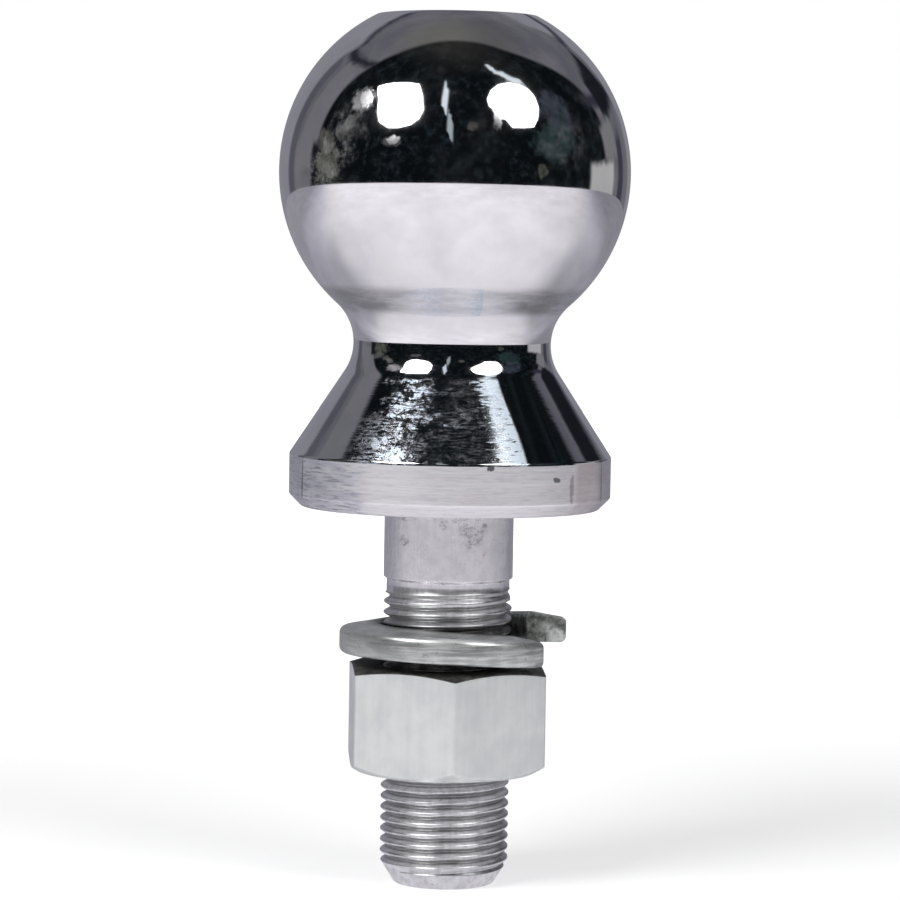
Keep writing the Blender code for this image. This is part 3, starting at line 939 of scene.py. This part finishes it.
def collar_finish(g, place):
    """Brushed chrome round the collar, with a few dark nicks and dashes, a pink tint on its right,
    and painted shade on its left and round both sides.
    """
    side = side_angle(g, place)
    brushed = g.noise(place, (70.0, 70.0, 4200.0), 3.0)
    dashes = g.noise(place, (330.0, 330.0, 3600.0), 4.0, 0.7)
    fine = g.noise(place, 1500.0, 3.0, 0.65)
    cloud = g.noise(place, (150.0, 150.0, 500.0), 4.0, 0.6)
    on_left = window(g, side, *COLLAR_LEFT_SIDES)
    shaded_left = g.times(on_left, g.band(cloud, 0.35, 0.65, 0.24, 0.6))
    pink_right = g.times(
        window(g, side, *COLLAR_RIGHT_SIDES), g.band(cloud, 0.3, 0.6, 0.24, 0.6)
    )
    # Painted shade round both sides of the collar, 64 to 130 degrees from the front
    rim = g.times(window(g, g.math("ABSOLUTE", side), *COLLAR_RIM_SHADE_SIDES), 0.4)
    dark_dashes = g.times(g.band(dashes, 0.47, 0.66), g.plus(g.times(on_left, 0.65), 0.2))
    tone = g.blend(g.band(brushed, 0.3, 0.7), *COLLAR_CHROME)
    tone = g.blend(g.band(cloud, 0.5, 0.72, 0.0, 0.3), tone, COLLAR_BLUSH)
    tone = g.blend(shaded_left, tone, COLLAR_SHADE)
    tone = g.blend(dark_dashes, tone, COLLAR_DASH)
    tone = g.blend(pink_right, tone, COLLAR_PINK)
    tone = g.blend(rim, tone, COLLAR_RIM_SHADE)
    tone = g.blend(spots(g, place, COLLAR_NICKS, fine), tone, COLLAR_NICK)
    roughness = g.band(brushed, 0.3, 0.7, 0.36, 0.44)
    return tone, roughness, 0.82, g.times(brushed, 1.2e-5)


def shank_finish(g, place):
    """Satin chrome, duller on the thread, with painted shade in the grooves and in the gap at the
    washer and nut.
    """
    _, _, z = g.split(place)
    mottle = g.noise(place, 520.0, 4.0, 0.65)
    flecks = g.noise(place, (1100.0, 1100.0, 1700.0), 4.0, 0.7)
    streaks = g.noise(place, (1300.0, 1300.0, 120.0), 3.0)
    blotch = g.plus(g.times(mottle, 0.6), g.times(streaks, 0.4))
    threaded = g.band(z, *THREADED_BELOW)
    # Painted shade in the thread grooves, darker towards the root
    groove_shade = g.times(threaded, g.band(z, *GROOVES_ABOVE))
    groove_shade = g.times(groove_shade, g.band(axis_distance(g, place), *GROOVE_RADII), 0.42)
    # Painted shade on the shank where it passes the washer and the top of the nut
    gap_shade = g.times(window(g, z, *GAP_SHADE_HEIGHTS), g.band(mottle, 0.28, 0.58, 0.35, 0.85))
    stains = g.times(spots(g, place, SHANK_STAINS, mottle), g.band(flecks, 0.42, 0.66))
    plain_tone = g.blend(g.band(blotch, 0.38, 0.62), *SHANK_CHROME)
    thread_tone = g.blend(g.band(blotch, 0.36, 0.64), *THREAD_CHROME)
    tone = g.blend(threaded, plain_tone, thread_tone)
    tone = g.blend(g.band(flecks, 0.60, 0.74, 0.0, 0.55), tone, SHANK_FLECK)
    tone = g.blend(stains, tone, SHANK_STAIN)
    tone = g.blend(groove_shade, tone, GROOVE_SHADE)
    tone = g.blend(gap_shade, tone, SHANK_GAP_SHADE)
    plain_roughness = g.band(streaks, 0.3, 0.7, 0.26, 0.34)
    thread_roughness = g.band(mottle, 0.3, 0.7, 0.32, 0.42)
    roughness = g.mix(threaded, plain_roughness, thread_roughness)
    return tone, roughness, g.mix(threaded, 0.99, 1.0), g.times(mottle, 1.5e-5)


def washer_finish(g, place):
    """Zinc plate with wear and streaks along the coil, darker streaks on its left, painted shade
    round the bore, and darker and mottled at the raised end.
    """
    x, y, _ = g.split(place)
    mottle = g.noise(place, 520.0, 5.0, 0.75)
    fine = g.noise(place, 1300.0, 3.0, 0.7)
    cloud = g.noise(place, 110.0, 3.0)
    streaks = g.noise(place, (160.0, 160.0, 2400.0), 4.0, 0.65)
    shade = g.plus(g.times(streaks, 0.5), g.times(cloud, 0.5))
    on_left = window(g, side_angle(g, place), *WASHER_LEFT_SIDES)
    # Darker streaks on the washer's left side
    darker_left = g.times(on_left, g.band(streaks, 0.35, 0.60, 0.22, 0.55))
    # Painted shade round the bore, where the coil meets the shank
    inside = g.band(axis_distance(g, place), *WASHER_BORE_SHADE_RADII, 0.0, 0.85)
    raised_end = g.times(g.band(x, 0.0085, 0.0100), g.band(y, -0.0065, -0.0045))
    tone = g.blend(g.band(shade, 0.40, 0.58), *WASHER_ZINC)
    tone = g.blend(darker_left, tone, WASHER_LEFT_DARK)
    tone = g.blend(inside, tone, WASHER_BORE_SHADE)
    tone = g.blend(raised_end, tone, g.blend(g.band(mottle, 0.36, 0.64), *WASHER_END))
    tone = g.blend(g.band(fine, 0.58, 0.72, 0.0, 0.5), tone, WASHER_PIT)
    roughness = g.band(streaks, 0.3, 0.7, 0.28, 0.42)
    return tone, roughness, 0.8, g.times(mottle, 2.5e-5)


def nut_finish(g, place):
    """Clean pale zinc plate with faint drawn streaks down the flats."""
    mottle = g.noise(place, 350.0, 4.0, 0.6)
    cloud = g.noise(place, 90.0, 3.0)
    streaks = g.noise(place, (1200.0, 1200.0, 60.0), 4.0, 0.65)
    shade = g.plus(g.times(mottle, 0.35), g.times(cloud, 0.35), g.times(streaks, 0.3))
    tone = g.blend(g.band(shade, 0.36, 0.64), *NUT_ZINC)
    roughness = g.band(streaks, 0.3, 0.7, 0.34, 0.46)
    return tone, roughness, 0.62, g.times(mottle, 2.0e-5)


def shaded_top_finish(g, place):
    """Painted shade, mottled, on the nut's upper side under the washer."""
    mottle = g.noise(place, 600.0, 4.0, 0.7)
    tone = g.blend(g.band(mottle, 0.4, 0.7), *NUT_TOP_SHADE)
    return tone, 0.55, 0.2, g.times(mottle, 3.0e-5)


# Studio

def add_plane(name, corners, material):
    """Adds one flat face of the stage."""
    mesh = bpy.data.meshes.new(name)
    mesh.from_pydata(corners, [], [range(len(corners))])
    mesh.materials.append(material)
    plane = new_object(name, mesh)
    return plane


def floor_glow(g, place, for_camera, for_chrome):
    """How strongly the floor glows: for the camera, and for the chrome that mirrors it."""
    distance = g.add("ShaderNodeVectorMath", {0: place}, operation="LENGTH").outputs["Value"]
    across, depth, _ = g.split(place)
    shadow = g.times(g.band(depth, -0.01, 0.05), g.band(distance, 0.28, 0.08, 0.0, 0.44))
    uneven = g.band(g.noise(place, 9.0, 2.0), 0.3, 0.7, 0.94, 1.05)
    far = g.times(g.band(depth, -0.2, 0.3, 0.97, 0.33), g.band(across, 0.03, 0.4, 1.0, 0.85))
    mirrored = g.times(far, g.minus(uneven, shadow))
    seen = g.band(distance, 0.10, 0.55, 0.45, 1.0)
    return g.plus(g.times(for_camera, seen), g.times(for_chrome, mirrored))


def add_floor():
    """A white table top. The camera sees it white apart from the object's shadow.

    The chrome sees it pale in front of the object, and greyer and bluer behind it.
    """
    material, g, shader, place = new_material("floor_white")
    material.cycles.emission_sampling = "NONE"
    light_path = g.add("ShaderNodeLightPath").outputs
    for_camera, for_chrome = light_path["Is Camera Ray"], light_path["Is Glossy Ray"]
    _, depth, _ = g.split(place)
    mirrored = g.blend(g.band(depth, -0.05, 0.15), *FLOOR_REFLECTED)
    g.put(shader.inputs["Base Color"], g.blend(for_chrome, FLOOR_TONE, BLACK))
    g.put(shader.inputs["Roughness"], 0.9)
    g.put(shader.inputs["Specular IOR Level"], 0.0)
    g.put(shader.inputs["Emission Color"], g.blend(for_camera, mirrored, WHITE))
    g.put(shader.inputs["Emission Strength"], floor_glow(g, place, for_camera, for_chrome))
    edge = []
    for i in range(FLOOR_SIDES):
        x, y, z = on_circle(1.0, 2 * math.pi * i / FLOOR_SIDES, 0)
        edge.append((FLOOR_HALF_WIDTH * x, FLOOR_MIDDLE + FLOOR_HALF_DEPTH * y, z))
    add_plane("floor", edge, material)


def direction(azimuth, elevation):
    """A direction from the ball. Azimuth 0 is at the camera's side, positive to the right."""
    turn, lift = math.radians(azimuth), math.radians(elevation)
    across = math.cos(lift)
    return Vector((math.sin(turn) * across, -math.cos(turn) * across, math.sin(lift)))


def add_softbox(name, outline, brightness):
    """A lamp whose outline the ball shows as a bright window. It shines on its front only."""
    material, g, glow = glowing_material(name)
    facing = g.minus(1.0, g.add("ShaderNodeNewGeometry").outputs["Backfacing"])
    g.put(glow.inputs["Strength"], g.times(facing, brightness))
    ball = Vector((0, 0, stud_places()[1]))
    corners = [ball + direction(*corner) * LIGHT_DISTANCE for corner in outline]
    add_plane(name, corners, material).visible_camera = False


def room_paper(g, ray, elevation):
    """The grey paper behind and over the object."""
    x, _, _ = g.split(ray)
    paper = g.blend(g.band(g.noise(ray, 3.0, 3.0), 0.3, 0.7), *PAPER_TONES)
    paper = g.blend(g.band(elevation, 55.0, 75.0), paper, PAPER_TOP)
    corner = g.times(g.band(x, -0.05, 0.30), g.band(elevation, 50.0, 62.0, 0.0, 0.35))
    return g.blend(corner, paper, PAPER_CORNER)


def room_dark(g, ray, azimuth, elevation, ragged):
    """The dark side around the camera, with the softer things in it."""
    clutter = g.noise(ray, 11.0, 5.0, 0.7)
    cluttered = g.band(clutter, 0.30, 0.65, 0.35, 1.0)
    dark = g.blend(g.band(clutter, 0.45, 0.80), *DARK_TONES)
    dark = g.blend(g.band(elevation, 60.0, 88.0), dark, DARK_TOP)
    seen_at = g.add("ShaderNodeCombineXYZ", {0: azimuth, 1: elevation}).outputs["Vector"]
    for centre, reach, shade in ROOM_BLOBS:
        mask = spot(g, seen_at, (*centre, 0.0), (*reach, 1.0), ragged)
        dark = g.blend(g.times(mask, cluttered), dark, shade)
    return dark


def room_tones(g, ray):
    """The room that the chrome shows: dark around the camera, grey paper behind and over."""
    x, y, z = g.split(ray)
    azimuth, elevation = side_angle(g, ray), g.math("DEGREES", g.math("ARCSINE", z))
    ragged = g.noise(ray, 14.0, 4.0, 0.7)
    low_limit = g.mix(g.math("GREATER_THAN", x, 0.0), 0.25, 0.48)
    limit = g.mix(g.band(elevation, 15.0, 72.0), low_limit, 0.05)
    behind = g.band(g.minus(y, limit), -0.03, 0.03)
    dark, paper = room_dark(g, ray, azimuth, elevation, ragged), room_paper(g, ray, elevation)
    tone = g.blend(behind, dark, paper)
    frayed = g.band(ragged, 0.2, 0.8, -3.0, 3.0)
    for start, end, low, high, lean, shade in ROOM_PATCHES:
        soft, fray = FRONT_EDGE if abs(start) < REAR_AZIMUTH else REAR_EDGE
        drop = g.times(g.minus(azimuth, start), lean)
        level = g.plus(g.minus(elevation, drop), g.times(frayed, fray))
        wide, tall = between(g, azimuth, start, end, soft), between(g, level, low, high, soft)
        tone = g.blend(g.times(wide, tall), tone, shade)
    return tone


def add_room():
    """A wide shell around the studio, which only shiny surfaces see."""
    material, g, glow = glowing_material("room")
    material.cycles.emission_sampling = "NONE"
    place = g.add("ShaderNodeTexCoord").outputs["Object"]
    ray = g.add("ShaderNodeVectorMath", {0: place}, operation="NORMALIZE").outputs["Vector"]
    g.put(glow.inputs["Color"], room_tones(g, ray))
    bm = bmesh.new()
    bmesh.ops.create_uvsphere(bm, u_segments=48, v_segments=24, radius=ROOM_RADIUS)
    mesh = bpy.data.meshes.new("room")
    bm.to_mesh(mesh)
    bm.free()
    mesh.materials.append(material)
    room = new_object("room", mesh)
    room.location = (0, 0, stud_places()[1])
    room.visible_camera = False
    room.visible_diffuse = False
    room.visible_transmission = False
    room.visible_volume_scatter = False
    room.visible_shadow = False


def add_world():
    """White for the camera, and an even fill for matte surfaces."""
    world = bpy.data.worlds.new("studio")
    bpy.context.scene.world = world
    world.use_nodes = True
    world.cycles_visibility.glossy = False
    world.node_tree.nodes.clear()
    g = Graph(world.node_tree)
    for_camera = g.add("ShaderNodeLightPath").outputs["Is Camera Ray"]
    seen = g.blend(for_camera, WORLD_FILL, WHITE)
    background = g.add("ShaderNodeBackground", {"Color": seen, "Strength": 1.0})
    g.add("ShaderNodeOutputWorld", {"Surface": background.outputs["Background"]})


def add_camera():
    """Places the camera so that the ball's centre falls on its pixel of the photograph."""
    data = bpy.data.cameras.new("camera")
    data.sensor_width = SENSOR_WIDTH
    data.sensor_fit = "HORIZONTAL"
    data.lens = SENSOR_WIDTH * FOCAL_PIXELS / PHOTO_SIZE
    data.dof.use_dof = False
    camera = new_object("camera", data)
    forward = Vector((0, math.cos(CAMERA_PITCH), -math.sin(CAMERA_PITCH)))
    level_up = Vector((0, math.sin(CAMERA_PITCH), math.cos(CAMERA_PITCH)))
    level_right = Vector((1, 0, 0))
    up = level_up * math.cos(CAMERA_ROLL) - level_right * math.sin(CAMERA_ROLL)
    right = level_right * math.cos(CAMERA_ROLL) + level_up * math.sin(CAMERA_ROLL)
    aside = (BALL_PIXEL[0] - PHOTO_SIZE / 2) / FOCAL_PIXELS * BALL_DEPTH
    above = (PHOTO_SIZE / 2 - BALL_PIXEL[1]) / FOCAL_PIXELS * BALL_DEPTH
    ball = Vector((0, 0, stud_places()[1]))
    location = ball - forward * BALL_DEPTH - right * aside - up * above
    axes = Matrix((right, up, -forward)).transposed().to_4x4()
    camera.matrix_world = Matrix.Translation(location) @ axes
    bpy.context.scene.camera = camera


def main():
    bpy.context.scene.view_settings.view_transform = "Standard"
    build_ball_stud([
        finish_material("chrome_ball", ball_finish),
        finish_material("chrome_cone", cone_finish),
        finish_material("chrome_collar", collar_finish),
        finish_material("chrome_shank", shank_finish),
    ])
    build_lock_washer(finish_material("zinc_washer", washer_finish))
    build_hex_nut([
        finish_material("zinc_nut", nut_finish),
        finish_material("zinc_top_shade", shaded_top_finish),
    ])
    add_floor()
    add_softbox("softbox_left", LEFT_LAMP, LEFT_BRIGHTNESS)
    add_softbox("softbox_right", RIGHT_LAMP, RIGHT_BRIGHTNESS)
    add_room()
    add_world()
    add_camera()


main()
